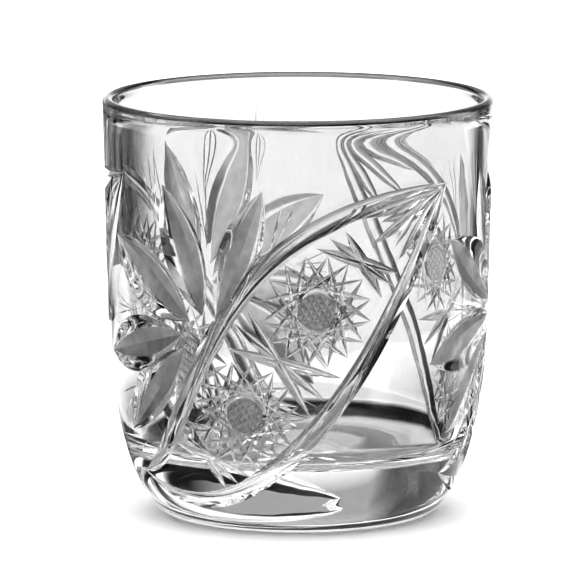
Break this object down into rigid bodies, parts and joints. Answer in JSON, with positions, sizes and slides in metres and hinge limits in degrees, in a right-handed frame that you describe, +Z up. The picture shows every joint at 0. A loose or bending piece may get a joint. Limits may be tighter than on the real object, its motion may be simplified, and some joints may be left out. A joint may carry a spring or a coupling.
{
  "type": "whiskey tumbler",
  "caption": "Thick-based cut-crystal whiskey tumbler with a rounded lower wall, flared plain rim, leaf sprays and leaf-shaped panels cut into its wall, and a star under its base.",
  "frame": {"origin": "centre of the foot's underside, on the surface the tumbler stands on", "axes": "+Z up along the tumbler's axis; -Y towards the side that shows one whole leaf-shaped panel"},
  "size_m": [0.084, 0.084, 0.09],
  "materials": {
    "lead_crystal": "clear colourless lead crystal, fire-polished rim and inside, acid-polished mitre cuts, matt wheel-cut leaf floors and buttons"
  },
  "bodies": {
    "root": {"tumbler": "lead_crystal"}
  },
  "joints": []
}
